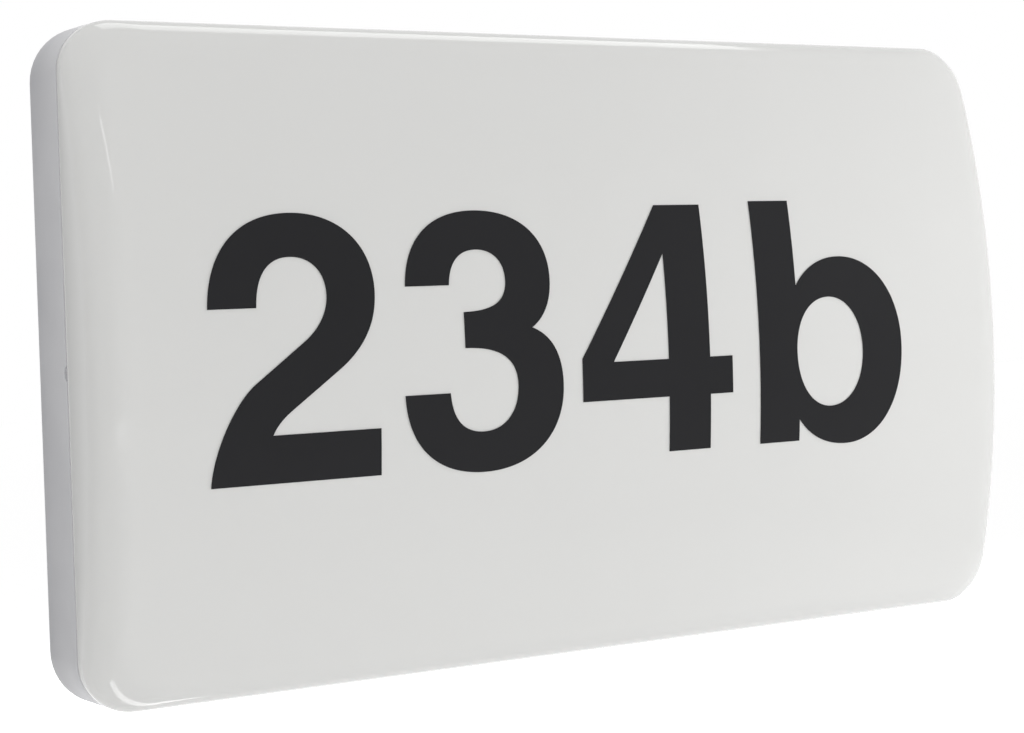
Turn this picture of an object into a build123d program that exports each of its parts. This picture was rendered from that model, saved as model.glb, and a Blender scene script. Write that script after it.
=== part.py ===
from build123d import *
import os
from math import pi, radians, tan

# An illuminated house-number light for an outside wall.
# X runs to the viewer's right, Z runs up, and the wall is the plane Y = 0.
# Depths are measured from the wall towards the viewer, so a depth d lies at Y = -d.
# All sizes are in millimetres.

# Outer form
body_width = 260.0
body_height = 162.0
corner_radius = 14.0
base_depth = 21.0
draft_angle = 5.2
edge_depth = 29.0
crown = 13.7
front_edge_radius = 8.5
back_edge_radius = 0.6

# Base housing
base_wall = 2.2
channel_width = 3.2
lip_wall = 1.8
lip_rise = 5.0
channel_floor = 16.0
shelf_thickness = 2.0
floor_back = 1.0
floor_thickness = 2.0
rear_rib_width = 6.0
groove_rib_width = 2.0
groove_rib_bite = 0.6
prise_notch_radius = 1.7
prise_notch_height = -1.6

# Screw holes to the wall, with a rubber washer in each
wall_hole_spacing_x = 180.0
wall_hole_spacing_z = 100.0
wall_hole_radius = 2.5
wall_pad_radius = 8.6
wall_pad_rise = 2.6
washer_radius = 6.6
washer_bore_radius = 2.8
washer_thickness = 1.8
washer_clearance = 0.2
hole_clearance = 0.2

# Cable entry and its grommet
entry_x = -60.0
entry_z = -21.0
entry_hole_radius = 9.5
entry_collar_radius = 13.2
entry_collar_rise = 2.0
grommet_flange_radius = 12.0
grommet_flange_thickness = 1.5
grommet_clearance = 0.1
grommet_cone_length = 7.0
grommet_cone_tip_wall = 1.4
grommet_cone_root_wall = 3.2
cable_bore_radius = 4.0

# Cover
cover_wall = 2.2
seam_gap = 0.3
tongue_thickness = 2.2
tongue_clearance = 0.4
rim_band_height = 3.2
rim_band_bite = 1.0
gasket_thickness = 1.8
gasket_clearance = 0.1
gasket_tongue_gap = 0.5
gasket_rounding = 0.5
catch_spacing = 120.0
catch_length = 12.0
catch_height = 1.6
catch_rise = 0.35
catch_above_tip = 0.5
catch_recess_depth = 0.8
catch_recess_margin = 1.0

# Stick-on number
digit_height = 62.3
baseline_drop = 28.4
vinyl_thickness = 0.25
number_side_gap = 28.6
two_advance = 46.8
three_advance = 47.3
four_advance = 52.0

# Gear tray
tray_clearance = 0.6
tray_sheet = 0.8
tray_flange = 8.0
tray_seat = 20.0
tray_fold_radius = 0.7
tray_boss_inset = 8.9
tray_boss_radius = 4.2
tray_screw_hole_radius = 1.8
lead_hole_side_gap = 23.0
lead_hole_z = 21.0
lead_hole_radius = 4.4
lead_grommet_flange_radius = 6.0
lead_grommet_flange = 1.0
lead_grommet_bore_radius = 2.7

# Screws, as head radius, head height, shank radius, length
tray_screw_size = (3.1, 2.2, 1.45, 11.0)
board_screw_size = (2.6, 1.7, 1.2, 6.0)
driver_screw_size = (2.8, 1.8, 1.2, 7.4)
block_screw_size = (2.2, 1.6, 1.05, 7.0)
thread_clearance = 0.05
boss_wall = 2.2
head_rounding = 0.35
cross_width_share = 0.34
cross_length_share = 1.3
cross_depth_share = 0.6
screw_point_share = 0.5

# Light source boards
board_side_gap = 26.0
board_width = 12.0
board_thickness = 1.6
board_corner_radius = 1.5
board_rows = {"upper": 42.0, "middle": 0.0, "lower": -42.0}
board_screw_offset = 2.0
board_hole_radius = 1.5
led_end_gap = 23.0
led_count = 10
led_length = 3.5
led_width = 2.8
led_thickness = 0.8
led_window_radius = 1.15
led_window_depth = 0.15
connector_end_gap = 9.0
connector_length = 8.0
connector_width = 7.5
connector_height = 4.2
connector_pole_offset = 2.0
connector_hole_depth = 3.0
connector_rounding = 0.6

# Terminal block
block_x = -60.0
block_z = 21.0
block_back = 6.0
pole_pitch = 12.0
tower_width = 9.6
tower_length = 20.0
tower_height = 12.5
tower_rounding = 1.6
web_length = 14.0
web_height = 7.0
block_screw_seat = 4.0
wire_axis_rise = 4.5
block_wire_hole_radius = 1.7
block_screw_access_radius = 2.2
clamp_width = 5.6
clamp_length = 15.6
clamp_height = 7.0
clamp_floor = 1.8
clamp_clearance = 0.1
clamp_bore_radius = 1.9
clamp_screw_offset = 4.6
clamp_screw_radius = 1.3
clamp_screw_head_radius = 1.9
clamp_screw_head_height = 1.6
clamp_screw_slot = 0.6

# Driver
driver_offset = 11.5
driver_z = -21.0
driver_length = 100.0
driver_width = 34.0
driver_case_height = 14.0
driver_wall = 1.6
driver_lid_thickness = 1.6
driver_lid_rib = 1.6
driver_lid_clearance = 0.2
driver_corner_radius = 2.0
ear_length = 11.0
ear_width = 11.0
ear_thickness = 2.5
ear_rise = 5.0
ear_offset_z = 12.0
ear_hole_radius = 1.5
driver_post_radius = 3.6
driver_lead_rise = 6.6
mains_hole_offsets = {"neutral": 9.0, "live": 1.0}
output_hole_offsets = {"positive": -3.0, "negative": -8.0}
driver_board_clearance = 0.6
driver_board_thickness = 1.6
driver_board_rise = 2.0
standoff_radius = 2.0
standoff_inset = 4.0

# Parts on the driver's board, placed from the board's centre
transformer_x = 8.0
transformer_core = (17.0, 8.0, 15.0)
transformer_leg_width = 4.0
transformer_rounding = 0.5
input_capacitor_x = -22.0
output_capacitor_x = 32.0
capacitor_radius = 4.0
capacitor_length = 15.0
capacitor_rounding = 0.6
choke_x = -7.5
choke_radius = 4.2
choke_core_radius = 2.3
choke_flange = 1.2
choke_height = 7.0
chip_places = ((-33.5, -2.0), (21.5, 3.0))
chip_size = (5.0, 2.0, 6.0)

# Earth point on the tray
stud_side_gap = 35.0
stud_z = 21.0
stud_radius = 2.0
stud_length = 10.0
stud_head_radius = 3.2
ring_radius = 4.0
ring_thickness = 0.8
ring_neck_width = 3.0
barrel_radius = 1.7
barrel_bore_radius = 1.2
barrel_start = 4.6
barrel_length = 6.0
nut_width = 7.0
nut_height = 3.2

# Leads inside the light
mains_lead_radius = 1.1
board_lead_radius = 0.7
core_share = 0.5
live_case_gap = 17.0
neutral_case_gap = 9.0
live_loop = 6.0
neutral_loop = 12.0
earth_loop = 8.0
bare_length = 5.5
lead_in_block = 2.0
lead_in_case = 6.0
lead_spread = 1.4
link_outer = 9.0
link_inner = 5.5
bend_share = 0.45
largest_bend = 6.0

# Derived sizes
total_depth = edge_depth + crown
digit_baseline = -baseline_drop
two_left = number_side_gap - body_width / 2
three_left = two_left + two_advance
four_left = three_left + three_advance
small_b_left = four_left + four_advance
lead_hole_x = body_width / 2 - lead_hole_side_gap
stud_x = stud_side_gap - body_width / 2
driver_x = (entry_x + lead_hole_x) / 2 + driver_offset
board_length = body_width - 2 * board_side_gap
led_pitch = (board_length - 2 * led_end_gap) / (led_count - 1)
board_screw_pitch = 4 * led_pitch - board_screw_offset
connector_x = board_length / 2 - connector_end_gap
lip_top = base_depth + lip_rise
floor_front = floor_back + floor_thickness
tub_inset = base_wall + channel_width
tub_inner_inset = tub_inset + lip_wall
tray_front = tray_seat + tray_sheet
board_front = tray_front + board_thickness
seam_depth = base_depth + seam_gap
tongue_tip = channel_floor + gasket_thickness + gasket_tongue_gap
tongue_inset = base_wall + tongue_clearance
tongue_inner_inset = tongue_inset + tongue_thickness
entry_collar_top = floor_front + entry_collar_rise
block_wire_depth = block_back + wire_axis_rise
driver_back = floor_front
driver_lid_back = driver_back + driver_case_height
driver_lead_depth = driver_back + driver_lead_rise
driver_board_back = driver_back + driver_wall + driver_board_rise
driver_board_front = driver_board_back + driver_board_thickness
connector_wire_depth = board_front + connector_height / 2


def facing(depth):
    """A drawing plane that faces the viewer, at a depth in front of the wall."""
    return Plane.XZ.offset(depth)


def outline(depth, inset=0.0):
    """Width, height and corner radius of the outer skin at a depth, drawn in by an inset."""
    lean = depth * tan(radians(draft_angle)) + inset
    return body_width - 2 * lean, body_height - 2 * lean, corner_radius - lean


def seam_ring(outer_inset, inner_inset):
    """Draw a ring that follows the seam, between two insets from the outer skin there."""
    RectangleRounded(*outline(base_depth, outer_inset))
    RectangleRounded(*outline(base_depth, inner_inset), mode=Mode.SUBTRACT)


half_front_height = outline(edge_depth)[1] / 2
front_radius = (half_front_height**2 + crown**2) / (2 * crown)
barrel_centre = front_radius - total_depth


def arched_block(inset):
    """The cover's outer form, or its hollow when it is drawn in by an inset."""
    with BuildPart() as form:
        with BuildSketch(facing(seam_depth)):
            RectangleRounded(*outline(seam_depth, inset))
        extrude(amount=total_depth - seam_depth, taper=draft_angle)
        with BuildSketch(Plane.YZ):
            with Locations((barrel_centre, 0)):
                Circle(front_radius - inset)
        extrude(amount=body_width, both=True, mode=Mode.INTERSECT)
        front = form.faces().filter_by(GeomType.CYLINDER).sort_by(SortBy.AREA)[-1]
        fillet(front.edges(), front_edge_radius - inset)
    return form.part


def turned(profile):
    """Spin a list of (radius, depth) points about a line that runs straight out from the wall."""
    with BuildPart() as blank:
        with BuildSketch(Plane.XY):
            with BuildLine():
                Polyline(*[(radius, -depth) for radius, depth in profile], close=True)
            make_face()
        revolve(axis=Axis.Y)
    return blank.part


def cross_screw(head_radius, head_height, shank_radius, length):
    """A pan-head screw with a cross recess. Its seat is at depth 0 and its point towards the wall."""
    with BuildPart() as blank:
        with BuildSketch(facing(0)):
            Circle(head_radius)
        extrude(amount=head_height)
        fillet(blank.faces().sort_by(Axis.Y)[0].edges(), head_height * head_rounding)
        with BuildSketch(facing(head_height)):
            Rectangle(head_radius * cross_width_share, head_radius * cross_length_share)
            Rectangle(head_radius * cross_length_share, head_radius * cross_width_share)
        extrude(amount=-head_height * cross_depth_share, mode=Mode.SUBTRACT)
        with BuildSketch(facing(0)):
            Circle(shank_radius)
        extrude(amount=-length)
        chamfer(blank.faces().sort_by(Axis.Y)[-1].edges(), shank_radius * screw_point_share)
    return blank.part


def placed(piece, seat_depth, places):
    """Copies of a piece with its seat at a depth, at a list of (x, z) places."""
    with BuildPart() as group:
        with Locations(*[(x, -seat_depth, z) for x, z in places]):
            add(piece)
    return group.part


def bend_radii(points):
    """The largest arc for each corner of a route that its two runs leave room for."""
    corners = [Vector(*point) for point in points]
    radii = []
    for before, here, after in zip(corners, corners[1:], corners[2:]):
        turn = radians((here - before).get_angle(after - here))
        shorter = min((here - before).length, (after - here).length)
        radii.append(min(bend_share * shorter / tan(turn / 2), largest_bend))
    return radii


def lead(route, radius, bare_length=0.0):
    """An insulated lead along a route of (x, depth, z) points, with a bare core where it starts."""
    points = [(x, -depth, z) for x, depth, z in route]
    with BuildPart() as wire:
        with BuildLine() as path:
            FilletPolyline(*points, radius=bend_radii(points))
        with BuildSketch(Plane(origin=path.line @ 0, z_dir=path.line % 0)):
            Circle(radius)
        sweep()
    length = sum(edge.length for edge in path.line.edges())
    ratio = wire.part.volume / (length * pi * radius**2)
    bends = [round(bend, 1) for bend in bend_radii(points)]
    print("lead", round(length, 1), "mm, bends", bends, "volume ratio", round(ratio, 4))
    if bare_length:
        with BuildPart() as core:
            with BuildSketch(Plane(origin=path.line @ 0, z_dir=-(path.line % 0))):
                Circle(radius * core_share)
            extrude(amount=bare_length)
        return wire.part + core.part
    return wire.part


def keep(piece, node):
    """Label a finished piece and write its file."""
    piece.label = node
    export_step(piece, f"parts/{node}.step")


os.makedirs("parts", exist_ok=True)

tub_width, tub_height, tub_corner = outline(base_depth, tub_inner_inset)
groove_reach_x, groove_reach_z = [size / 2 for size in outline(base_depth, tub_inset)[:2]]
boss_x = tub_width / 2 - tray_boss_inset
boss_z = tub_height / 2 - tray_boss_inset
four_corners = [(side, level) for side in (-1, 1) for level in (-1, 1)]
boss_places = [(side * boss_x, level * boss_z) for side, level in four_corners]
wall_hole_places = [(side * wall_hole_spacing_x / 2, level * wall_hole_spacing_z / 2)
                    for side, level in four_corners]
ear_x = driver_length / 2 + ear_length / 2
ear_places = [(driver_x - ear_x, driver_z - ear_offset_z), (driver_x + ear_x, driver_z + ear_offset_z)]
post_top = driver_back + ear_rise
block_screw_places = [(block_x - pole_pitch / 2, block_z), (block_x + pole_pitch / 2, block_z)]
poles = {"earth": block_x - pole_pitch, "neutral": block_x, "live": block_x + pole_pitch}
board_screw_columns = (-board_screw_pitch, 0.0, board_screw_pitch)
board_screw_places = [(x, z) for z in board_rows.values() for x in board_screw_columns]
clamp_screw_places = [(x, block_z + end * clamp_screw_offset) for x in poles.values() for end in (-1, 1)]

# Base housing: an outer wall with a gasket channel round its rim, and an inner tub with the fixings
with BuildPart() as base_housing:
    with BuildSketch(facing(0)):
        RectangleRounded(*outline(0))
    extrude(amount=base_depth, taper=draft_angle)
    fillet(base_housing.faces().sort_by(Axis.Y)[-1].edges(), back_edge_radius)
    with BuildSketch(facing(0)):
        RectangleRounded(*outline(0, base_wall))
    extrude(amount=base_depth, taper=draft_angle, mode=Mode.SUBTRACT)
    with BuildSketch(facing(0)):
        RectangleRounded(*outline(base_depth, tub_inset))
    extrude(amount=lip_top)
    with BuildSketch(facing(channel_floor - shelf_thickness)):
        RectangleRounded(*outline(base_depth, base_wall / 2))
    extrude(amount=shelf_thickness)
    with BuildSketch(facing(floor_front)):
        RectangleRounded(tub_width, tub_height, tub_corner)
    extrude(amount=lip_top - floor_front, mode=Mode.SUBTRACT)
    # Hollow back, with a cross of ribs that keeps the middle flat on the wall
    with BuildSketch(facing(0)):
        RectangleRounded(tub_width, tub_height, tub_corner)
        Rectangle(tub_width, rear_rib_width, mode=Mode.SUBTRACT)
        Rectangle(rear_rib_width, tub_height, mode=Mode.SUBTRACT)
        with Locations((entry_x, entry_z)):
            Circle(entry_collar_radius, mode=Mode.SUBTRACT)
        with GridLocations(wall_hole_spacing_x, wall_hole_spacing_z, 2, 2):
            Circle(wall_pad_radius, mode=Mode.SUBTRACT)
    extrude(amount=floor_back, mode=Mode.SUBTRACT)
    # Ribs across the hollow groove behind the gasket channel
    rib_depth = channel_floor - shelf_thickness
    rib_span = channel_width + base_wall
    for level in (-1, 1):
        with Locations(*[(x, 0, level * (groove_reach_z + rib_span / 2 - groove_rib_bite))
                         for x in (-boss_x, -boss_x / 3, boss_x / 3, boss_x)]):
            Box(groove_rib_width, rib_depth, rib_span, align=(Align.CENTER, Align.MAX, Align.CENTER))
    for side in (-1, 1):
        with Locations(*[(side * (groove_reach_x + rib_span / 2 - groove_rib_bite), 0, z)
                         for z in (-boss_z, boss_z)]):
            Box(rib_span, rib_depth, groove_rib_width, align=(Align.CENTER, Align.MAX, Align.CENTER))
    # Bosses for the tray, the driver, the terminal block, the wall screws and the cable entry
    with BuildSketch(facing(floor_front)):
        with Locations(*boss_places):
            Circle(tray_boss_radius)
        for side in (-1, 1):
            with Locations(*[(side * (boss_x + tray_boss_inset / 2), level * boss_z) for level in (-1, 1)]):
                Rectangle(tray_boss_inset, boss_wall)
    extrude(amount=tray_seat - tray_flange - floor_front)
    with BuildSketch(facing(floor_front)):
        with Locations(*boss_places):
            Circle(tray_boss_radius)
    extrude(amount=tray_seat - floor_front)
    with BuildSketch(facing(floor_front)):
        with Locations(*ear_places):
            Circle(driver_post_radius)
    extrude(amount=post_top - floor_front)
    with BuildSketch(facing(floor_front)):
        with Locations(*block_screw_places):
            Circle(block_screw_size[2] + boss_wall)
    extrude(amount=block_back - floor_front)
    with BuildSketch(facing(floor_front)):
        with GridLocations(wall_hole_spacing_x, wall_hole_spacing_z, 2, 2):
            Circle(wall_pad_radius)
    extrude(amount=wall_pad_rise)
    with BuildSketch(facing(floor_front)):
        with Locations((entry_x, entry_z)):
            Circle(entry_collar_radius)
    extrude(amount=entry_collar_rise)
    # Holes
    with BuildSketch(facing(0)):
        with GridLocations(wall_hole_spacing_x, wall_hole_spacing_z, 2, 2):
            Circle(wall_hole_radius)
        with Locations((entry_x, entry_z)):
            Circle(entry_hole_radius)
    extrude(amount=entry_collar_top + wall_pad_rise, mode=Mode.SUBTRACT)
    with BuildSketch(facing(0)):
        with Locations((entry_x, entry_z)):
            Circle(grommet_flange_radius + grommet_clearance)
    extrude(amount=grommet_flange_thickness + grommet_clearance, mode=Mode.SUBTRACT)
    with BuildSketch(facing(floor_front + wall_pad_rise)):
        with GridLocations(wall_hole_spacing_x, wall_hole_spacing_z, 2, 2):
            Circle(washer_radius + washer_clearance)
    extrude(amount=-washer_thickness, mode=Mode.SUBTRACT)
    for places, size, top in (
        (boss_places, tray_screw_size, tray_seat),
        (ear_places, driver_screw_size, post_top),
        (block_screw_places, block_screw_size, block_back),
    ):
        with BuildSketch(facing(top)):
            with Locations(*places):
                Circle(size[2] + thread_clearance)
        extrude(amount=floor_front - top, mode=Mode.SUBTRACT)
    # Recesses for the cover's catches, and the notch where the cover is prised off
    for level in (-1, 1):
        with Locations(*[(x, -(tongue_tip + catch_above_tip - catch_recess_margin / 2), level * groove_reach_z)
                         for x in (-catch_spacing / 2, catch_spacing / 2)]):
            Box(catch_length + 2 * catch_recess_margin, catch_height + catch_recess_margin,
                2 * catch_recess_depth, align=(Align.CENTER, Align.MAX, Align.CENTER), mode=Mode.SUBTRACT)
    with Locations((-outline(base_depth)[0] / 2, -base_depth, prise_notch_height)):
        Cylinder(prise_notch_radius, 2 * base_wall, rotation=(0, 90, 0), mode=Mode.SUBTRACT)
keep(base_housing.part, "base_housing")

# Cover gasket: a silicone ring on the floor of the channel
with BuildPart() as cover_gasket:
    with BuildSketch(facing(channel_floor)):
        seam_ring(base_wall + gasket_clearance, tub_inset - gasket_clearance)
    extrude(amount=gasket_thickness)
    fillet(cover_gasket.faces().sort_by(Axis.Y)[0].edges(), gasket_rounding)
keep(cover_gasket.part, "cover_gasket")

# Cable grommet: a rubber bush with a flange each side of the floor and a cone over the cable
neck_radius = entry_hole_radius - grommet_clearance
grommet_front = entry_collar_top + grommet_flange_thickness
grommet_blank = turned([
    (cable_bore_radius, grommet_clearance),
    (grommet_flange_radius, grommet_clearance),
    (grommet_flange_radius, grommet_flange_thickness),
    (neck_radius, grommet_flange_thickness),
    (neck_radius, entry_collar_top),
    (grommet_flange_radius, entry_collar_top),
    (grommet_flange_radius, grommet_front),
    (cable_bore_radius + grommet_cone_root_wall, grommet_front),
    (cable_bore_radius + grommet_cone_tip_wall, grommet_front + grommet_cone_length),
    (cable_bore_radius, grommet_front + grommet_cone_length),
])
keep(placed(grommet_blank, 0, [(entry_x, entry_z)]), "cable_grommet")

# Rubber washers that seal the four wall screws
washer_seat = floor_front + wall_pad_rise - washer_thickness
washer_blank = turned([
    (washer_bore_radius, 0),
    (washer_radius, 0),
    (washer_radius, washer_thickness),
    (washer_bore_radius, washer_thickness),
])
keep(placed(washer_blank, washer_seat, wall_hole_places), "wall_screw_seals")

# Terminal block body: three towers on a web
with BuildPart() as tower:
    with BuildSketch(facing(block_back)):
        Rectangle(tower_width, tower_length)
    extrude(amount=tower_height)
    fillet(tower.faces().sort_by(Axis.Y)[0].edges(), tower_rounding)
with BuildPart() as terminal_block:
    with BuildSketch(facing(block_back)):
        with Locations((block_x, block_z)):
            Rectangle(2 * pole_pitch + tower_width, web_length)
    extrude(amount=web_height)
    with Locations(*[(x, 0, block_z) for x in poles.values()]):
        add(tower.part)
    # Slots that hold the brass clamps, and the ways in for wires and screws
    for x in poles.values():
        with Locations((x, -(block_back + clamp_floor - clamp_clearance), block_z)):
            Box(clamp_width + 2 * clamp_clearance, clamp_height + 2 * clamp_clearance,
                clamp_length + 2 * clamp_clearance,
                align=(Align.CENTER, Align.MAX, Align.CENTER), mode=Mode.SUBTRACT)
        with Locations((x, -block_wire_depth, block_z)):
            Cylinder(block_wire_hole_radius, 2 * tower_length, mode=Mode.SUBTRACT)
    with BuildSketch(facing(block_back + tower_height)):
        with Locations(*clamp_screw_places):
            Circle(block_screw_access_radius)
    extrude(amount=-(tower_height - clamp_floor - clamp_height), mode=Mode.SUBTRACT)
    with BuildSketch(facing(block_back + web_height)):
        with Locations(*block_screw_places):
            Circle(block_screw_size[0] + hole_clearance)
    extrude(amount=-(web_height - block_screw_seat), mode=Mode.SUBTRACT)
    with BuildSketch(facing(block_back + block_screw_seat)):
        with Locations(*block_screw_places):
            Circle(block_screw_size[2] + hole_clearance)
    extrude(amount=-block_screw_seat, mode=Mode.SUBTRACT)
keep(terminal_block.part, "terminal_block")

# Brass clamps in the terminal block
with BuildPart() as clamp:
    with BuildSketch(facing(0)):
        Rectangle(clamp_width, clamp_length)
    extrude(amount=clamp_height)
    with Locations((0, -(wire_axis_rise - clamp_floor), 0)):
        Cylinder(clamp_bore_radius, 2 * clamp_length, mode=Mode.SUBTRACT)
    with BuildSketch(facing(clamp_height)):
        with Locations((0, -clamp_screw_offset), (0, clamp_screw_offset)):
            Circle(clamp_screw_radius + thread_clearance)
    extrude(amount=wire_axis_rise - clamp_floor - clamp_height, mode=Mode.SUBTRACT)
clamp_seat = block_back + clamp_floor
keep(placed(clamp.part, clamp_seat, [(x, block_z) for x in poles.values()]), "terminal_clamps")

# Slotted screws in the clamps, each with its tip just clear of the wire's bare core
core_radius = mains_lead_radius * core_share
clamp_screw_tip = block_wire_depth + core_radius + clamp_clearance
clamp_screw_seat = clamp_seat + clamp_height + clamp_clearance
with BuildPart() as clamp_screw:
    with BuildSketch(facing(clamp_screw_seat)):
        Circle(clamp_screw_head_radius)
    extrude(amount=clamp_screw_head_height)
    with BuildSketch(facing(clamp_screw_seat + clamp_screw_head_height)):
        Rectangle(2 * clamp_screw_head_radius, clamp_screw_slot)
    extrude(amount=-clamp_screw_head_height / 2, mode=Mode.SUBTRACT)
    with BuildSketch(facing(clamp_screw_seat)):
        Circle(clamp_screw_radius)
    extrude(amount=clamp_screw_tip - clamp_screw_seat)
keep(placed(clamp_screw.part, 0, clamp_screw_places), "terminal_clamp_screws")

block_screw = cross_screw(*block_screw_size)
keep(placed(block_screw, block_back + block_screw_seat, block_screw_places), "terminal_block_screws")

# Gear tray: a shallow pan of white steel sheet that carries the light source
with BuildPart() as gear_tray:
    with BuildSketch(facing(tray_seat)):
        RectangleRounded(*outline(base_depth, tub_inner_inset + tray_clearance))
    extrude(amount=tray_sheet)
    with BuildSketch(facing(tray_seat)):
        seam_ring(tub_inner_inset + tray_clearance, tub_inner_inset + tray_clearance + tray_sheet)
    extrude(amount=-tray_flange)
    fillet(gear_tray.faces().sort_by(Axis.Y)[0].edges(), tray_fold_radius)
    with BuildSketch(facing(tray_front)):
        with Locations(*boss_places):
            Circle(tray_screw_hole_radius)
        with Locations(*board_screw_places):
            Circle(board_screw_size[2] + thread_clearance)
        with Locations((lead_hole_x, lead_hole_z)):
            Circle(lead_hole_radius)
        with Locations((stud_x, stud_z)):
            Circle(stud_head_radius + thread_clearance)
    extrude(amount=-tray_sheet, mode=Mode.SUBTRACT)
keep(gear_tray.part, "gear_tray")

tray_screw = cross_screw(*tray_screw_size)
keep(placed(tray_screw, tray_front, boss_places), "tray_screws")

# Small rubber bush where the leads to the boards pass the tray
bush_neck = lead_hole_radius - grommet_clearance
bush_blank = turned([
    (lead_grommet_bore_radius, -lead_grommet_flange),
    (lead_grommet_flange_radius, -lead_grommet_flange),
    (lead_grommet_flange_radius, 0),
    (bush_neck, 0),
    (bush_neck, tray_sheet),
    (lead_grommet_flange_radius, tray_sheet),
    (lead_grommet_flange_radius, tray_sheet + lead_grommet_flange),
    (lead_grommet_bore_radius, tray_sheet + lead_grommet_flange),
])
keep(placed(bush_blank, tray_seat, [(lead_hole_x, lead_hole_z)]), "tray_grommet")

# Earth stud pressed into the tray, with its ring terminal and nut behind the sheet
stud_blank = turned([
    (0, -stud_length),
    (stud_radius, -stud_length),
    (stud_radius, 0),
    (stud_head_radius, 0),
    (stud_head_radius, tray_sheet),
    (0, tray_sheet),
])
keep(placed(stud_blank, tray_seat, [(stud_x, stud_z)]), "earth_stud")

barrel_depth = tray_seat - barrel_radius - clamp_clearance
with BuildPart() as earth_ring_terminal:
    with BuildSketch(facing(tray_seat - ring_thickness)):
        with Locations((stud_x, stud_z)):
            Circle(ring_radius)
        with Locations((stud_x, stud_z + barrel_start / 2 + barrel_radius)):
            Rectangle(ring_neck_width, barrel_start)
        with Locations((stud_x, stud_z)):
            Circle(stud_radius + hole_clearance, mode=Mode.SUBTRACT)
    extrude(amount=ring_thickness)
    with Locations((stud_x, -barrel_depth, stud_z + barrel_start)):
        Cylinder(barrel_radius, barrel_length, align=(Align.CENTER, Align.CENTER, Align.MIN))
    with Locations((stud_x, -barrel_depth, stud_z + barrel_start)):
        Cylinder(barrel_bore_radius, barrel_length, align=(Align.CENTER, Align.CENTER, Align.MIN),
                 mode=Mode.SUBTRACT)
keep(earth_ring_terminal.part, "earth_ring_terminal")

with BuildPart() as earth_nut:
    with BuildSketch(facing(tray_seat - ring_thickness - nut_height)):
        with Locations((stud_x, stud_z)):
            RegularPolygon(nut_width / 2, 6, major_radius=False)
            Circle(stud_radius + thread_clearance, mode=Mode.SUBTRACT)
    extrude(amount=nut_height)
keep(earth_nut.part, "earth_nut")

# Light source: three aluminium-backed boards, each with a row of LEDs
with BuildPart() as led_chip:
    with BuildSketch(facing(0)):
        Rectangle(led_length, led_width)
    extrude(amount=led_thickness)
    with BuildSketch(facing(led_thickness)):
        Circle(led_window_radius)
    extrude(amount=-led_window_depth, mode=Mode.SUBTRACT)
for row, row_z in board_rows.items():
    with BuildPart() as led_board:
        with BuildSketch(facing(tray_front)):
            with Locations((0, row_z)):
                RectangleRounded(board_length, board_width, board_corner_radius)
            with Locations(*[(x, row_z) for x in board_screw_columns]):
                Circle(board_hole_radius, mode=Mode.SUBTRACT)
        extrude(amount=board_thickness)
    keep(led_board.part, f"led_board_{row}")
    led_places = [((index - (led_count - 1) / 2) * led_pitch, row_z) for index in range(led_count)]
    keep(placed(led_chip.part, board_front, led_places), f"led_chips_{row}")

board_screw = cross_screw(*board_screw_size)
keep(placed(board_screw, board_front, board_screw_places), "board_screws")

# Wire connectors at both ends of each board, open towards the board's end
with BuildPart() as connectors:
    for side in (-1, 1):
        with BuildSketch(facing(board_front)):
            with Locations(*[(side * connector_x, z) for z in board_rows.values()]):
                Rectangle(connector_length, connector_width)
        extrude(amount=connector_height)
    fillet(connectors.faces().filter_by(Axis.Y).group_by(Axis.Y)[0].edges(), connector_rounding)
    for side in (-1, 1):
        mouth_x = side * (connector_x + connector_length / 2)
        mouths = [(mouth_x, -connector_wire_depth, z + pole * connector_pole_offset)
                  for z in board_rows.values() for pole in (-1, 1)]
        with Locations(*mouths):
            Cylinder(board_lead_radius + hole_clearance, 2 * connector_hole_depth,
                     rotation=(0, 90, 0), mode=Mode.SUBTRACT)
keep(connectors.part, "board_connectors")

# Driver case: an open box with two fixing ears and standoffs for its board
with BuildPart() as driver_case:
    with BuildSketch(facing(driver_back)):
        with Locations((driver_x, driver_z)):
            RectangleRounded(driver_length, driver_width, driver_corner_radius)
    extrude(amount=driver_case_height)
    with BuildSketch(facing(driver_back + driver_wall)):
        with Locations((driver_x, driver_z)):
            Rectangle(driver_length - 2 * driver_wall, driver_width - 2 * driver_wall)
    extrude(amount=driver_case_height - driver_wall, mode=Mode.SUBTRACT)
    with BuildSketch(facing(post_top)):
        with Locations(*ear_places):
            Rectangle(ear_length, ear_width)
            Circle(ear_hole_radius, mode=Mode.SUBTRACT)
    extrude(amount=ear_thickness)
    standoff_x = driver_length - 2 * driver_wall - 2 * standoff_inset
    standoff_z = driver_width - 2 * driver_wall - 2 * standoff_inset
    with BuildSketch(facing(driver_back + driver_wall)):
        with Locations((driver_x, driver_z)):
            with GridLocations(standoff_x, standoff_z, 2, 2):
                Circle(standoff_radius)
    extrude(amount=driver_board_rise)
    for side, offsets, radius in ((-1, mains_hole_offsets, mains_lead_radius),
                                  (1, output_hole_offsets, board_lead_radius)):
        wall_x = driver_x + side * driver_length / 2
        with Locations(*[(wall_x, -driver_lead_depth, driver_z + offset) for offset in offsets.values()]):
            Cylinder(radius + hole_clearance, 3 * driver_wall, rotation=(0, 90, 0), mode=Mode.SUBTRACT)
keep(driver_case.part, "driver_case")

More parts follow.
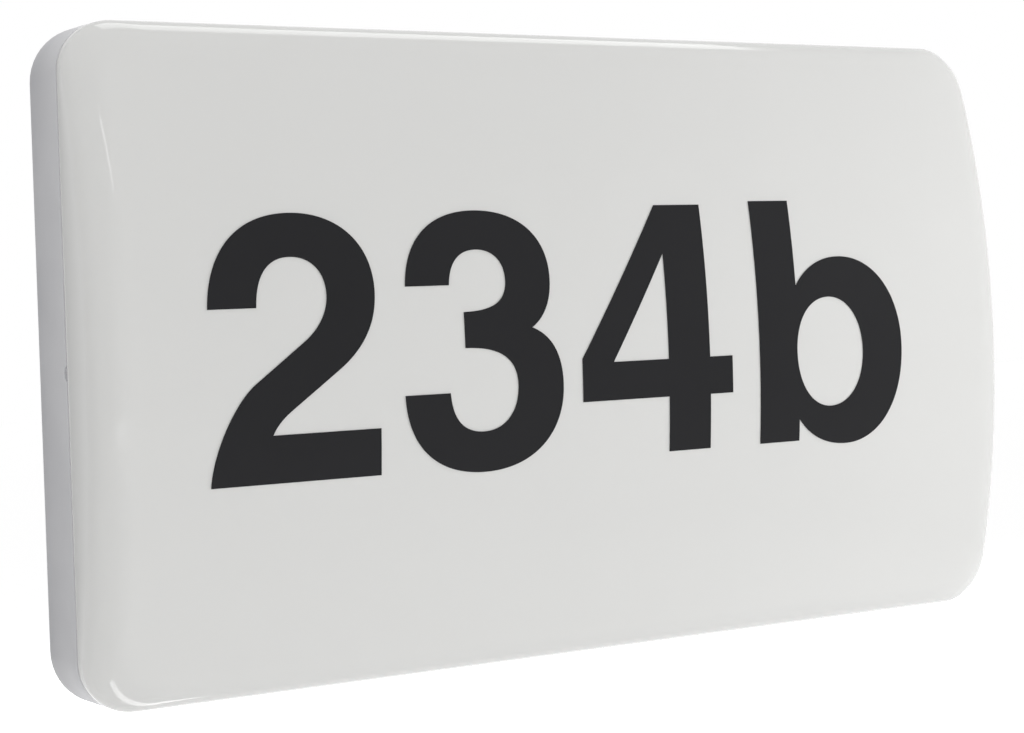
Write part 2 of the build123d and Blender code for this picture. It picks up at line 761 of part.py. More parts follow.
# Driver lid: a plate with a rib that fits inside the case
with BuildPart() as driver_lid:
    with BuildSketch(facing(driver_lid_back)):
        with Locations((driver_x, driver_z)):
            RectangleRounded(driver_length, driver_width, driver_corner_radius)
    extrude(amount=driver_lid_thickness)
    rib_inset = driver_wall + driver_lid_clearance
    rib_hollow = rib_inset + driver_wall
    with BuildSketch(facing(driver_lid_back)):
        with Locations((driver_x, driver_z)):
            Rectangle(driver_length - 2 * rib_inset, driver_width - 2 * rib_inset)
            Rectangle(driver_length - 2 * rib_hollow, driver_width - 2 * rib_hollow, mode=Mode.SUBTRACT)
    extrude(amount=-driver_lid_rib)
keep(driver_lid.part, "driver_lid")

driver_screw = cross_screw(*driver_screw_size)
keep(placed(driver_screw, post_top + ear_thickness, ear_places), "driver_screws")

# Driver board on its standoffs
board_cut = driver_wall + driver_board_clearance
with BuildPart() as driver_board:
    with BuildSketch(facing(driver_board_back)):
        with Locations((driver_x, driver_z)):
            Rectangle(driver_length - 2 * board_cut, driver_width - 2 * board_cut)
    extrude(amount=driver_board_thickness)
keep(driver_board.part, "driver_board")

# Transformer: a ferrite frame round a taped coil
core_x, core_y, core_z = transformer_core
window_x = core_x - 2 * transformer_leg_width
window_z = core_z - 2 * transformer_leg_width
coil_depth = driver_board_front + core_y / 2
with BuildPart() as driver_transformer:
    with BuildSketch(facing(driver_board_front)):
        with Locations((driver_x + transformer_x, driver_z)):
            Rectangle(core_x, core_z)
            Rectangle(window_x, window_z, mode=Mode.SUBTRACT)
    extrude(amount=core_y)
    with Locations((driver_x + transformer_x, -coil_depth, driver_z)):
        Cylinder(core_y / 2, core_z)
        Box(window_x + transformer_leg_width, core_y - 2 * transformer_rounding,
            window_z + transformer_leg_width)
keep(driver_transformer.part, "driver_transformer")

# Two capacitors that lie on the board
with BuildPart() as driver_capacitors:
    for x in (input_capacitor_x, output_capacitor_x):
        with Locations((driver_x + x, -(driver_board_front + capacitor_radius), driver_z)):
            Cylinder(capacitor_radius, capacitor_length)
    fillet(driver_capacitors.edges().filter_by(GeomType.CIRCLE), capacitor_rounding)
keep(driver_capacitors.part, "driver_capacitors")

# Choke: a bobbin of wire with a flange at each end
choke_blank = turned([
    (0, 0),
    (choke_radius, 0),
    (choke_radius, choke_flange),
    (choke_core_radius + choke_flange, choke_flange),
    (choke_core_radius + choke_flange, choke_height - choke_flange),
    (choke_radius, choke_height - choke_flange),
    (choke_radius, choke_height),
    (0, choke_height),
])
keep(placed(choke_blank, driver_board_front, [(driver_x + choke_x, driver_z)]), "driver_choke")

with BuildPart() as driver_chips:
    with BuildSketch(facing(driver_board_front)):
        with Locations(*[(driver_x + x, driver_z + z) for x, z in chip_places]):
            Rectangle(chip_size[0], chip_size[2])
    extrude(amount=chip_size[1])
keep(driver_chips.part, "driver_chips")

# Mains leads from the terminal block to the driver and to the earth point
block_end = block_z + tower_length / 2
case_left = driver_x - driver_length / 2
live_z = driver_z + mains_hole_offsets["live"]
neutral_z = driver_z + mains_hole_offsets["neutral"]
live_route = [
    (poles["live"], block_wire_depth, block_end - lead_in_block),
    (poles["live"], block_wire_depth, block_end + live_loop),
    (case_left - live_case_gap, block_wire_depth, block_end + live_loop),
    (case_left - live_case_gap, driver_lead_depth, live_z),
    (case_left + lead_in_case, driver_lead_depth, live_z),
]
keep(lead(live_route, mains_lead_radius, bare_length), "live_lead")
neutral_route = [
    (poles["neutral"], block_wire_depth, block_end - lead_in_block),
    (poles["neutral"], block_wire_depth, block_end + neutral_loop),
    (case_left - neutral_case_gap, block_wire_depth, block_end + neutral_loop),
    (case_left - neutral_case_gap, driver_lead_depth, neutral_z),
    (case_left + lead_in_case, driver_lead_depth, neutral_z),
]
keep(lead(neutral_route, mains_lead_radius, bare_length), "neutral_lead")
earth_route = [
    (poles["earth"], block_wire_depth, block_end - lead_in_block),
    (poles["earth"], block_wire_depth, block_end + earth_loop),
    (stud_x, barrel_depth, block_end + earth_loop),
    (stud_x, barrel_depth, stud_z + barrel_start + barrel_length / 2),
]
keep(lead(earth_route, mains_lead_radius, bare_length), "earth_lead")

# Leads from the driver, through the tray, to the upper board
case_right = driver_x + driver_length / 2
mouth_x = connector_x + connector_length / 2
connector_lead_x = mouth_x - connector_hole_depth + hole_clearance
board_lead_sides = {"positive": -1, "negative": 1}
for pole, side in board_lead_sides.items():
    run_x = lead_hole_x + side * lead_spread
    start_z = driver_z + output_hole_offsets[pole]
    end_z = board_rows["upper"] + side * connector_pole_offset
    route = [
        (case_right - lead_in_case, driver_lead_depth, start_z),
        (run_x, driver_lead_depth, start_z),
        (run_x, driver_lead_depth, lead_hole_z),
        (run_x, connector_wire_depth, lead_hole_z),
        (run_x, connector_wire_depth, end_z),
        (connector_lead_x, connector_wire_depth, end_z),
    ]
    keep(lead(route, board_lead_radius), f"board_lead_{pole}")

# Link wires: upper board to middle board on the left, middle to lower on the right
for side, top, bottom in ((-1, "upper", "middle"), (1, "middle", "lower")):
    for reach, offset, name in ((link_outer, connector_pole_offset, "outer"),
                                (link_inner, -connector_pole_offset, "inner")):
        top_z = board_rows[top] + offset
        bottom_z = board_rows[bottom] - offset
        route = [
            (side * connector_lead_x, connector_wire_depth, top_z),
            (side * (mouth_x + reach), connector_wire_depth, top_z),
            (side * (mouth_x + reach), connector_wire_depth, bottom_z),
            (side * connector_lead_x, connector_wire_depth, bottom_z),
        ]
        keep(lead(route, board_lead_radius), f"link_wire_{bottom}_{name}")

# Cover: an opal shell with an arched front, a thick rim, and a tongue that enters the base's channel
cover_skin = arched_block(0)
cover_hollow = arched_block(cover_wall)
with BuildPart() as diffuser_cover:
    add(cover_skin)
    add(cover_hollow, mode=Mode.SUBTRACT)
    with BuildSketch(facing(seam_depth)):
        seam_ring(rim_band_bite, tongue_inner_inset)
    extrude(amount=rim_band_height)
    with BuildSketch(facing(tongue_tip)):
        seam_ring(tongue_inset, tongue_inner_inset)
    extrude(amount=seam_depth - tongue_tip)
    tongue_face_z = outline(base_depth, tongue_inner_inset)[1] / 2
    for level in (-1, 1):
        with Locations(*[(x, -(tongue_tip + catch_above_tip), level * tongue_face_z)
                         for x in (-catch_spacing / 2, catch_spacing / 2)]):
            Box(catch_length, catch_height, 2 * catch_rise, align=(Align.CENTER, Align.MAX, Align.CENTER))
keep(diffuser_cover.part, "diffuser_cover")

# Stick-on number. Each outline is drawn on a grid with a hundred units to the digit's height.
# A stroke is the next corner alone, or two handles and the next corner for a curve.
unit = digit_height / 100


def draw(left, strokes):
    """Draw the lines and curves of one closed outline of a digit."""
    corners = [[(left + u * unit, digit_baseline + v * unit) for u, v in stroke] for stroke in strokes]
    pen = corners[-1][-1]
    for stroke in corners:
        if len(stroke) == 1:
            Line(pen, stroke[0])
        else:
            Bezier(pen, *stroke)
        pen = stroke[-1]


def sticker(left, outer, counter=None):
    """A thin vinyl digit that follows the arched front."""
    with BuildPart() as vinyl:
        with BuildSketch(facing(edge_depth)):
            with BuildLine():
                draw(left, outer)
            make_face()
            if counter:
                with BuildLine():
                    draw(left, counter)
                make_face(mode=Mode.SUBTRACT)
        extrude(amount=2 * crown)
        with BuildSketch(Plane.YZ):
            with Locations((barrel_centre, 0)):
                Circle(front_radius + vinyl_thickness)
                Circle(front_radius, mode=Mode.SUBTRACT)
        extrude(amount=body_width, both=True, mode=Mode.INTERSECT)
    return vinyl.part


two_outline = [
    [(0, 0)],
    [(0.8, 14), (9.9, 30.8), (17, 36.3)],
    [(36.5, 51.2)],
    [(42, 55.4), (45.7, 61.5), (45.7, 68.1)],
    [(45.7, 76.5), (40.5, 82.3), (32.4, 82.3)],
    [(24, 82.3), (18.9, 76.5), (18.5, 64)],
    [(0.3, 64)],
    [(1, 84.5), (12.5, 98.6), (33.4, 98.6)],
    [(52.5, 98.6), (64.7, 86.5), (64.7, 68.9)],
    [(64.7, 56), (58.5, 46.9), (49.5, 40.2)],
    [(31, 26.4)],
    [(27, 23.4), (24.8, 20.8), (23.3, 17.6)],
    [(65.4, 17.6)],
    [(65.4, 0)],
]
keep(sticker(two_left, two_outline), "digit_two")

three_outline = [
    [(0.3, 29)],
    [(1, 9.5), (13, -2), (33.2, -2)],
    [(54, -2), (67.2, 10.5), (67.2, 29.5)],
    [(67.2, 41.5), (62.8, 49.3), (54.4, 52.6)],
    [(60.4, 56.5), (63.2, 63.5), (63.2, 72)],
    [(63.2, 88.5), (51.5, 98.6), (32.6, 98.6)],
    [(14.2, 98.6), (2.8, 88), (2, 70)],
    [(20, 70)],
    [(20.6, 78.8), (25, 83.4), (32.2, 83.4)],
    [(39.5, 83.4), (44, 78.6), (44, 71.5)],
    [(44, 63.2), (38.4, 59.6), (25.6, 59.6)],
    [(25.6, 45.8)],
    [(40.6, 45.8), (47.6, 40.8), (47.6, 30.4)],
    [(47.6, 20.2), (41.8, 13.6), (32.8, 13.6)],
    [(24, 13.6), (19.4, 19), (18.8, 29)],
]
keep(sticker(three_left, three_outline), "digit_three")

four_outline = [
    [(0, 39.2)],
    [(0, 22.2)],
    [(39.6, 22.2)],
    [(39.6, 0)],
    [(59, 0)],
    [(59, 22.2)],
    [(69.8, 22.2)],
    [(69.8, 37.4)],
    [(59, 37.4)],
    [(59, 99.8)],
    [(37.6, 99.8)],
]
four_counter = [
    [(14, 37.4)],
    [(39.6, 37.4)],
    [(39.6, 80.3)],
]
keep(sticker(four_left, four_outline, four_counter), "digit_four")

small_b_outline = [
    [(0, 0)],
    [(19.4, 0)],
    [(19.4, 9.3)],
    [(24.8, 1.6), (33.2, -2.6), (43.4, -2.6)],
    [(61, -2.6), (72.9, 13.4), (72.9, 37.6)],
    [(72.9, 60.8), (60.2, 76.9), (42, 76.9)],
    [(32.6, 76.9), (24.6, 72.6), (19.4, 64.8)],
    [(19.4, 101)],
    [(0, 101)],
]
small_b_counter = [
    [(18.6, 24.2), (25.4, 13.8), (35.6, 13.8)],
    [(45.6, 13.8), (52.5, 23.2), (52.5, 36.6)],
    [(52.5, 50.2), (45.4, 59.9), (35.6, 59.9)],
    [(25.4, 59.9), (18.6, 50.6), (18.6, 37.6)],
]
keep(sticker(small_b_left, small_b_outline, small_b_counter), "letter_b")
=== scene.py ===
from math import cos, radians, sin, sqrt, tan

import bmesh
import bpy
from mathutils import Matrix, Vector


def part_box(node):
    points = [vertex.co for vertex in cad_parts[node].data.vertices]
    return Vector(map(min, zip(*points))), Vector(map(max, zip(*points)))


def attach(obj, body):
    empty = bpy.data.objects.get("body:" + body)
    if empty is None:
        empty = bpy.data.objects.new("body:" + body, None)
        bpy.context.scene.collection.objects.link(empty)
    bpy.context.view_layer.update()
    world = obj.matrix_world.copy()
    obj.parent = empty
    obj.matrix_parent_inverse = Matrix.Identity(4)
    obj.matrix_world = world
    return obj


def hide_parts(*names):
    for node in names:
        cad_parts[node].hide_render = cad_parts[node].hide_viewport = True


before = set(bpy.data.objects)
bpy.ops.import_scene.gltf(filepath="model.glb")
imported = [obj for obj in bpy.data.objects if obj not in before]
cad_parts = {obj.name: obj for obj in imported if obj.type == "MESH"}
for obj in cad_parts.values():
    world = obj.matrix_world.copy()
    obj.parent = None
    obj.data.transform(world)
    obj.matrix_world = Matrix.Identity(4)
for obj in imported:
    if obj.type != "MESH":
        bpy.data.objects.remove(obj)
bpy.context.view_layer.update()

MM = 0.001

# Opal cover. It is one moulding of glossy milk-white acrylic, 2.2 mm thick, with a front that is arched
# from top to bottom. A thin tongue round its rim drops into the channel of the base, and four small
# bumps on the tongue snap in under the lip there.
CORNER_RADIUS = 14 * MM
DRAFT = radians(5.2)
CROWN = 13.7 * MM
FRONT_ROUNDING = 8.5 * MM
CORNER_GAIN = 9 * MM
COVER_WALL = 2.2 * MM
BASE_DEPTH = 21 * MM
SEAM_DEPTH = 21.3 * MM
TONGUE_INSET = 2.6 * MM
TONGUE_THICKNESS = 2.2 * MM
RIM_BAND_TOP = 24.5 * MM
EDGE_BREAK = 0.3 * MM
LEAST_RIM_BAND = 4 * MM
SUPPORT = 1.2 * MM
CATCH_SPACING = 120 * MM
CATCH_SIZE = (12 * MM, 1.6 * MM, 0.7 * MM)
CATCH_ABOVE_TIP = 0.5 * MM
CATCH_BEVEL = 0.22 * MM
WELD = 0.002 * MM
FINE_WELD = 0.001 * MM
CORNER_STEPS = 14
END_STEPS = 26
SIDE_STEPS = 8
ROUNDING_STEPS = 14
ROUNDING_PASSES = 8
COVER_SHARP_ANGLE = radians(32)

cover_low, cover_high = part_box("diffuser_cover")
tongue_tip = -cover_high.y
total_depth = -cover_low.y
reach_x = cover_high.x + SEAM_DEPTH * tan(DRAFT) - CORNER_RADIUS
reach_z = cover_high.z + SEAM_DEPTH * tan(DRAFT) - CORNER_RADIUS
edge_half = reach_z + CORNER_RADIUS - (total_depth - CROWN) * tan(DRAFT)
front_radius = (edge_half ** 2 + CROWN ** 2) / (2 * CROWN)
barrel_axis = total_depth - front_radius


def work_on(piece):
    """Make one piece the only selected one, in object mode."""
    if bpy.context.object and bpy.context.object.mode != "OBJECT":
        bpy.ops.object.mode_set(mode="OBJECT")
    bpy.ops.object.select_all(action="DESELECT")
    piece.select_set(True)
    bpy.context.view_layer.objects.active = piece


def choose(piece, kind, test):
    """Select the faces or edges of a piece that pass a test on their middle and normal."""
    bpy.ops.mesh.select_all(action="DESELECT")
    form = bmesh.from_edit_mesh(piece.data)
    for part in getattr(form, kind):
        middle = sum((vert.co for vert in part.verts), Vector()) / len(part.verts)
        part.select_set(test(middle, part))
    bmesh.update_edit_mesh(piece.data)


def settle(piece, name, body):
    """Name a finished piece and let it ride on its body."""
    work_on(piece)
    bpy.ops.object.transform_apply(location=True, rotation=True, scale=True)
    piece.name = name
    piece.data.name = name
    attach(piece, body)


def outline():
    """Stations round the body's outline, each a point on the corner centres' rectangle and a way out."""
    corners = [(1, -1, -90), (1, 1, 0), (-1, 1, 90), (-1, -1, 180)]
    stations = []
    for (side, level, start), (next_side, next_level, _) in zip(corners, corners[1:] + corners[:1]):
        here = Vector((side * reach_x, 0, level * reach_z))
        after = Vector((next_side * reach_x, 0, next_level * reach_z))
        for step in range(CORNER_STEPS + 1):
            angle = radians(start + 90 * step / CORNER_STEPS)
            stations.append((here, Vector((cos(angle), 0, sin(angle)))))
        steps = END_STEPS if side == next_side else SIDE_STEPS
        stations += [(here.lerp(after, step / steps), stations[-1][1]) for step in range(1, steps)]
    return stations


def on_wall(depth, inset=0.0, lean_depth=None):
    """A ring at a depth, drawn in from the leaning outer skin by an inset."""
    lean = (depth if lean_depth is None else lean_depth) * tan(DRAFT)

    def place(here, out):
        return here + out * (CORNER_RADIUS - lean - inset) + Vector((0, -depth, 0))
    return place


def on_rounding(share, radius):
    """A ring on the rounding that joins the wall, at share 0, to the arched front, at share 1."""
    gain = CORNER_GAIN * share * share * (3 - 2 * share)

    def place(here, out):
        centre = Vector((here.x * (1 - gain / reach_x), 0, here.z * (1 - gain / reach_z)))
        depth = total_depth
        for _ in range(ROUNDING_PASSES):
            ball = centre + out * (CORNER_RADIUS + gain - depth * tan(DRAFT) - FRONT_ROUNDING / cos(DRAFT))
            depth = barrel_axis + sqrt((front_radius - FRONT_ROUNDING) ** 2 - ball.z ** 2)
        ball.y = -depth
        to_wall = out * cos(DRAFT) + Vector((0, -sin(DRAFT), 0))
        to_front = Vector((0, -(depth - barrel_axis), ball.z)).normalized()
        return ball + to_wall.slerp(to_front, share) * radius
    return place


def on_front(radius, arch_radius):
    """A ring on the arched front, just inside the end of the rounding."""
    def place(here, out):
        point = on_rounding(1, radius)(here, out) - out * SUPPORT
        point.y = -(barrel_axis + sqrt(arch_radius ** 2 - point.z ** 2))
        return point
    return place


def below_rounding(share, radius, inset):
    """A ring on the wall between the seam, at share 0, and the start of the rounding, at share 1."""
    def place(here, out):
        top = -on_rounding(0, radius)(here, out).y
        return on_wall(SEAM_DEPTH + (top - SEAM_DEPTH) * share, inset)(here, out)
    return place


def ring_sheet(rings):
    """A sheet whose rows follow the rings, closed round the outline, from a grid of faces."""
    stations = outline()
    bpy.ops.mesh.primitive_grid_add(x_subdivisions=len(rings) - 1, y_subdivisions=len(stations), size=1)
    piece = bpy.context.object
    for vert in piece.data.vertices:
        ring = round((vert.co.x + 0.5) * (len(rings) - 1))
        station = round((vert.co.y + 0.5) * len(stations)) % len(stations)
        vert.co = rings[ring](*stations[station])
    bpy.ops.object.mode_set(mode="EDIT")
    bpy.ops.mesh.select_all(action="SELECT")
    bpy.ops.mesh.remove_doubles(threshold=FINE_WELD)
    return piece


def rounded(point):
    """A point to a hundredth of a millimetre, so that two places can be compared."""
    return tuple(round(value / MM, 2) for value in point)


def close_front(piece, ring):
    """Fill the open front inside a ring with one face, and cut it into level strips that keep its arch."""
    ends = [ring(*station) for station in outline()]
    near = {rounded(point) for point in ends}
    choose(piece, "edges", lambda middle, edge: edge.is_boundary
           and all(rounded(vert.co) in near for vert in edge.verts))
    bpy.ops.mesh.edge_face_add()
    low, high = min(point.y for point in ends), max(point.y for point in ends)
    for level in sorted({round(point.z, 6) for point in ends})[1:-1]:
        choose(piece, "faces", lambda middle, face: max(vert.co.x for vert in face.verts) > 0
               and min(vert.co.x for vert in face.verts) < 0
               and low - MM < middle.y < high + MM and len(face.verts) > 4)
        bpy.ops.mesh.bisect(plane_co=(0, 0, level), plane_no=(0, 0, 1), threshold=WELD)


COVER_INNER_ROUNDING = FRONT_ROUNDING - COVER_WALL
TONGUE_LEAN = dict(lean_depth=BASE_DEPTH)
rim_start = SEAM_DEPTH + EDGE_BREAK
tongue_end = tongue_tip + EDGE_BREAK
tongue_back = TONGUE_INSET + TONGUE_THICKNESS
break_middle = 0.3 * EDGE_BREAK
rounding_shares = [step / ROUNDING_STEPS for step in range(ROUNDING_STEPS + 1)]
outer_front = on_front(FRONT_ROUNDING, front_radius)
inner_front = on_front(COVER_INNER_ROUNDING, front_radius - COVER_WALL)
cover_rings = [outer_front]
cover_rings += [on_rounding(1 - share, FRONT_ROUNDING) for share in rounding_shares]
cover_rings += [below_rounding(share, FRONT_ROUNDING, 0) for share in (0.9, 0.5, 0.1)]
cover_rings += [
    on_wall(rim_start),
    on_wall(SEAM_DEPTH + break_middle, break_middle),
    on_wall(SEAM_DEPTH, EDGE_BREAK),
    on_wall(SEAM_DEPTH, TONGUE_INSET, **TONGUE_LEAN),
    on_wall(tongue_end, TONGUE_INSET, **TONGUE_LEAN),
    on_wall(tongue_tip, TONGUE_INSET + EDGE_BREAK, **TONGUE_LEAN),
    on_wall(tongue_tip, tongue_back - EDGE_BREAK, **TONGUE_LEAN),
    on_wall(tongue_end, tongue_back, **TONGUE_LEAN),
    on_wall(RIM_BAND_TOP, tongue_back, **TONGUE_LEAN),
    on_wall(RIM_BAND_TOP, COVER_WALL),
]
cover_rings += [below_rounding(share, COVER_INNER_ROUNDING, COVER_WALL) for share in (0.5, 0.9)]
cover_rings += [on_rounding(share, COVER_INNER_ROUNDING) for share in rounding_shares]
cover_rings += [inner_front]
cover = ring_sheet(cover_rings)
close_front(cover, outer_front)
close_front(cover, inner_front)
bpy.ops.mesh.select_all(action="SELECT")
bpy.ops.mesh.normals_make_consistent(inside=False)
bpy.ops.object.mode_set(mode="OBJECT")
bpy.ops.object.select_all(action="DESELECT")
catch_depth = tongue_tip + CATCH_ABOVE_TIP + CATCH_SIZE[1] / 2
for side in (-1, 1):
    for level in (-1, 1):
        face_z = level * (reach_z + CORNER_RADIUS - BASE_DEPTH * tan(DRAFT) - tongue_back)
        bpy.ops.mesh.primitive_cube_add(size=1, location=(side * CATCH_SPACING / 2, -catch_depth, face_z),
                                        scale=CATCH_SIZE)
        catch = bpy.context.object
        bpy.ops.object.transform_apply(location=True, rotation=True, scale=True)
        bpy.ops.object.mode_set(mode="EDIT")
        bpy.ops.mesh.select_all(action="SELECT")
        bpy.ops.mesh.bevel(offset=CATCH_BEVEL, segments=2)
        bpy.ops.object.mode_set(mode="OBJECT")
        catch.select_set(True)
        cover.select_set(True)
        bpy.context.view_layer.objects.active = cover
        bpy.ops.object.join()
        bpy.ops.object.select_all(action="DESELECT")

PATCH_LOW = 0.3
PATCH_HIGH = 0.7


class Link:
    """An output in a material. Sums on links and numbers add Math nodes."""

    def __init__(self, finish, socket):
        self.finish = finish
        self.socket = socket

    def maths(self, operation, *values):
        return self.finish.add("ShaderNodeMath", {"operation": operation}, *values)

    def __add__(self, other):
        return self.maths("ADD", self, other)

    def __sub__(self, other):
        return self.maths("SUBTRACT", self, other)

    def __rsub__(self, other):
        return self.maths("SUBTRACT", other, self)

    def __mul__(self, other):
        return self.maths("MULTIPLY", self, other)

    def __truediv__(self, other):
        return self.maths("DIVIDE", self, other)

    def __pow__(self, other):
        return self.maths("POWER", self, other)

    def __abs__(self):
        return self.maths("ABSOLUTE", self)

    def __mod__(self, other):
        return self.maths("FLOORED_MODULO", self, other)

    def below(self, limit, edge):
        """1 where this is under a limit and 0 where it is over it, across a soft edge."""
        return self.finish.ramp(self, limit - edge, limit + edge, 1, 0)

    __radd__ = __add__
    __rmul__ = __mul__


class Finish:
    """A material, with constant values set on its shader and patterns joined to it."""

    def __init__(self, name, **constants):
        self.material = bpy.data.materials.new(name)
        self.material.use_nodes = True
        self.tree = self.material.node_tree
        self.shader = self.tree.nodes["Principled BSDF"]
        self.paint(**constants)
        self.place = self.add("ShaderNodeTexCoord", output="Object")
        self.facing = self.add("ShaderNodeTexCoord", output="Normal")

    def join(self, value, socket):
        if isinstance(value, Link):
            self.tree.links.new(value.socket, socket)
        else:
            socket.default_value = value

    def add(self, kind, settings=None, *values, output=0, **named):
        """Make a node: its settings first, then its sockets by order or by name. Returns an output."""
        node = self.tree.nodes.new(kind)
        for key, value in (settings or {}).items():
            setattr(node, key, value)
        for number, value in enumerate(values):
            self.join(value, node.inputs[number])
        for name, value in named.items():
            self.join(value, node.inputs[name])
        return Link(self, node.outputs[output])

    def noise(self, scale, detail, roughness=0.5):
        """Soft random patches, from 0 to 1, at a scale in patches per metre."""
        return self.add("ShaderNodeTexNoise", None, Vector=self.place, Scale=scale, Detail=detail,
                        Roughness=roughness)

    def ramp(self, value, low, high, start=0.0, end=1.0):
        """A value stretched from one range to another, and kept inside it."""
        return self.add("ShaderNodeMapRange", {"clamp": True}, value, low, high, start, end)

    def mix(self, share, first, second):
        """Two colours, blended by a share."""
        node = self.tree.nodes.new("ShaderNodeMix")
        node.data_type = "RGBA"
        for value, socket in ((share, node.inputs[0]), (first, node.inputs[6]), (second, node.inputs[7])):
            self.join(value, socket)
        return Link(self, node.outputs[2])

    def patches(self, scale, detail, low, high):
        """A number that wanders between two limits in soft patches."""
        return self.ramp(self.noise(scale, detail), PATCH_LOW, PATCH_HIGH, low, high)

    def mottled(self, scale, detail, first, second):
        """Two colours that blend into each other in soft patches."""
        return self.mix(self.noise(scale, detail), first, second)

    def axes(self, source=None):
        """The place on the object in metres, or another vector, as three numbers."""
        node = self.tree.nodes.new("ShaderNodeSeparateXYZ")
        self.join(source or self.place, node.inputs[0])
        return [Link(self, socket) for socket in node.outputs]

    def bump(self, height, distance, strength=1.0):
        """A relief of a height from 0 to 1, as deep as a distance in metres."""
        relief = self.add("ShaderNodeBump", None, Strength=strength, Distance=distance, Height=height)
        self.join(relief, self.shader.inputs["Normal"])

    def paint(self, **patterns):
        """Set or join sockets of the shader, named with _ for each space."""
        for socket, value in patterns.items():
            self.join(value, self.shader.inputs[socket.replace("_", " ")])


def colour(red, green, blue):
    """A colour from its three values as a screen shows them, from 0 to 255."""
    return tuple((value / 255) ** 2.2 for value in (red, green, blue)) + (1.0,)


opal = Finish("glossy_opal_acrylic", IOR=1.49)
opal_speck = opal.noise(2600, 1)
opal_handled = opal.noise(55, 4, 0.6)
opal.bump(opal.noise(30, 1) + opal_speck * 0.02, 0.05 * MM, 0.5)
# Painted shade: the side wall's colour runs from a grey at the seam up to the opal's own tint where the
# rounding starts, standing in for the shade that falls near the seam.
_, opal_y, opal_z = opal.axes()
below_arch = (front_radius ** 2 - opal_z ** 2) ** 0.5 + (barrel_axis - FRONT_ROUNDING - SEAM_DEPTH)
wall_height = below_arch.maths("MAXIMUM", below_arch, LEAST_RIM_BAND)
painted_rim_shade_fade = opal.ramp((-SEAM_DEPTH - opal_y) / wall_height, 0, 1)
opal_tint = opal.mottled(14, 3, colour(229, 229, 227), colour(233, 233, 231))
opal.paint(Base_Color=opal.mix(painted_rim_shade_fade, colour(194, 194, 192), opal_tint),
           Roughness=opal.ramp(opal_handled, 0.35, 0.75, 0.06, 0.11))
cover.data.materials.append(opal.material)
work_on(cover)
bpy.ops.object.shade_smooth_by_angle(angle=COVER_SHARP_ANGLE)
settle(cover, "opal_cover", "cover")
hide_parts("diffuser_cover")

# House number. Four characters are cut from satin black self-adhesive film, a quarter of a millimetre
# thick, and stuck on the front by hand, so that they follow its arch.
FILM_THICKNESS = 0.25 * MM
FILM_STRIPS = 48
FLAT_ANGLE = radians(0.4)
SHARP_ANGLE = radians(30)
SAME_WAY = 0.9


def even_shading(piece):
    """Let the widest faces set the shading, so that flats beside small curves stay flat."""
    weighted = piece.modifiers.new("weighted", "WEIGHTED_NORMAL")
    weighted.keep_sharp = True
    weighted.weight = 100
    bpy.ops.object.modifier_apply(modifier=weighted.name)


def smooth_copy(node, name):
    """A merged copy of a fixed piece's mesh, with smooth shading between its sharp edges."""
    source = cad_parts[node]
    piece = bpy.data.objects.new(name, source.data.copy())
    bpy.context.scene.collection.objects.link(piece)
    piece.data.materials.clear()
    work_on(piece)
    bpy.ops.object.mode_set(mode="EDIT")
    bpy.ops.mesh.select_all(action="SELECT")
    bpy.ops.mesh.remove_doubles(threshold=WELD)
    bpy.ops.mesh.dissolve_limited(angle_limit=FLAT_ANGLE)
    bpy.ops.object.mode_set(mode="OBJECT")
    bpy.ops.object.shade_smooth_by_angle(angle=SHARP_ANGLE)
    even_shading(piece)
    return piece


film = Finish("black_vinyl_film", IOR=1.3)
film.bump(film.noise(900, 2), 0.006 * MM, 0.4)
film.paint(Base_Color=film.mottled(20, 2, colour(28, 28, 30), colour(34, 34, 36)),
           Roughness=film.patches(120, 3, 0.4, 0.5))
for character in ("digit_two", "digit_three", "digit_four", "letter_b"):
    sticker = smooth_copy(character, "film_" + character.split("_")[1])
    low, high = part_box(character)
    work_on(sticker)
    bpy.ops.object.mode_set(mode="EDIT")
    for strip in range(1, FILM_STRIPS):
        bpy.ops.mesh.select_all(action="SELECT")
        bpy.ops.mesh.bisect(plane_co=(0, 0, low.z + (high.z - low.z) * strip / FILM_STRIPS),
                            plane_no=(0, 0, 1), threshold=FINE_WELD)
    bpy.ops.object.mode_set(mode="OBJECT")
    for vert in sticker.data.vertices:
        reach = Vector((0, -vert.co.y - barrel_axis, vert.co.z))
        on_face = reach.length > front_radius + FILM_THICKNESS / 2
        reach = reach.normalized() * (front_radius + (FILM_THICKNESS if on_face else 0))
        vert.co.y = -(reach.y + barrel_axis)
    aims = []
    for face in sticker.data.polygons:
        for corner in face.vertices:
            spot = sticker.data.vertices[corner].co
            arched = Vector((0, spot.y + barrel_axis, spot.z)).normalized()
            agreement = face.normal.dot(arched)
            if abs(agreement) > SAME_WAY:
                aims.append(arched if agreement > 0 else -arched)
            else:
                aims.append(face.normal)
    sticker.data.normals_split_custom_set(aims)
    sticker.data.materials.append(film.material)
    settle(sticker, sticker.name, "cover")
    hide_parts(character)

# Base housing. It is moulded from white weather-resistant plastic with a finely textured skin: an outer
# wall with the gasket channel round its rim, a tub with bosses, and ribs across the hollow back.
housing = Finish("white_housing_plastic", IOR=1.5)
housing.bump(housing.noise(1400, 3, 0.6), 0.03 * MM, 0.5)
housing_tint = housing.mottled(12, 3, colour(201, 201, 204), colour(206, 206, 209))
# Painted shade: the outer wall's colour darkens from the rim towards the wall the light hangs on, standing
# in for the shade that falls there.
painted_wall_shade = housing.ramp(housing.axes()[1], -BASE_DEPTH, 0)
housing.paint(Base_Color=housing.mix(painted_wall_shade, housing_tint, colour(174, 174, 178)),
              Roughness=housing.patches(60, 3, 0.34, 0.46))
shell = smooth_copy("base_housing", "housing_shell")
shell.data.materials.append(housing.material)
settle(shell, "housing_shell", "base")
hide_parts("base_housing")

